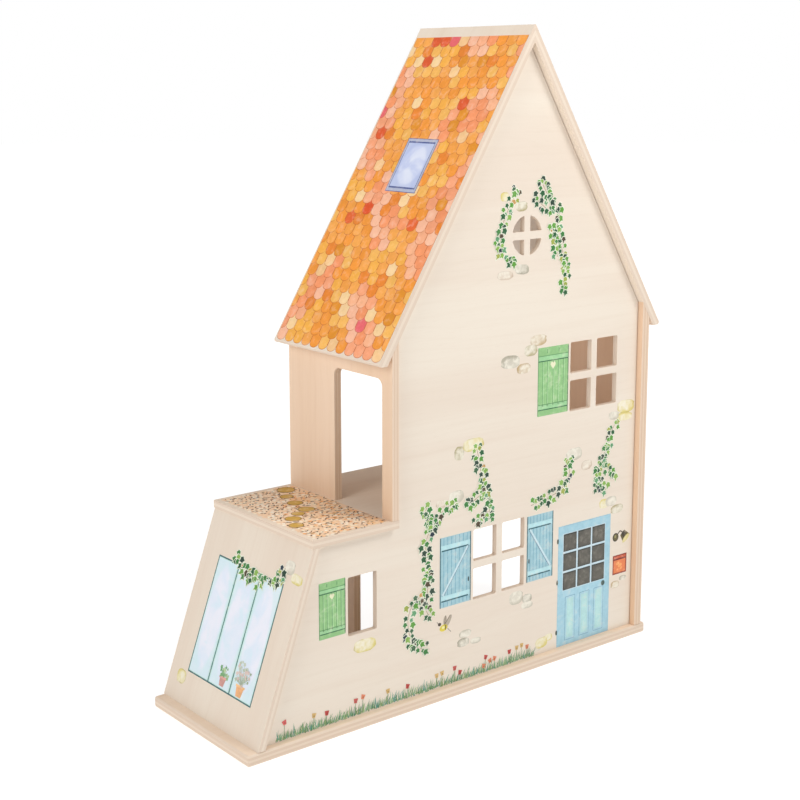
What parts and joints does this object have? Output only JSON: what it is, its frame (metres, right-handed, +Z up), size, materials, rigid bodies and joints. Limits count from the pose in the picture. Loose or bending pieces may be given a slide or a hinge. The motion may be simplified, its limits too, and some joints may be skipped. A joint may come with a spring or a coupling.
{
  "type": "wooden dollhouse",
  "caption": "Tall open-backed plywood dollhouse with a steep gable roof, cut-out windows and a lean-to annex carrying a roof terrace.",
  "frame": {"origin": "centre of the base board's underside", "axes": "+Z up; the painted front faces -Y and the open back +Y; +X to the right seen from the front, away from the annex"},
  "size_m": [0.6136, 0.198, 0.7595],
  "materials": {
    "plywood": "pale birch plywood, sanded and clear matt lacquered",
    "printed_plywood": "pale birch plywood with watercolour print under matt lacquer",
    "dowel_beech": "plain turned beech",
    "screw_steel": "zinc plated"
  },
  "bodies": {
    "root": {"base_board": "plywood", "annex_slope_wall": "printed_plywood", "annex_partition": "plywood", "deck_floor_board": "printed_plywood", "upper_left_wall": "plywood", "right_wall": "plywood", "attic_floor": "plywood", "facade_panel": "printed_plywood", "roof_panel_left": "printed_plywood", "roof_panel_right": "printed_plywood", "slope_wall_dowels": "dowel_beech", "partition_dowels": "dowel_beech", "left_wall_dowels": "dowel_beech", "deck_end_dowels": "dowel_beech", "attic_floor_dowels": "dowel_beech", "facade_foot_dowels": "dowel_beech", "facade_floor_dowels": "dowel_beech", "roof_dowels": "dowel_beech", "ridge_dowels": "dowel_beech", "base_screws": "screw_steel"}
  },
  "joints": []
}
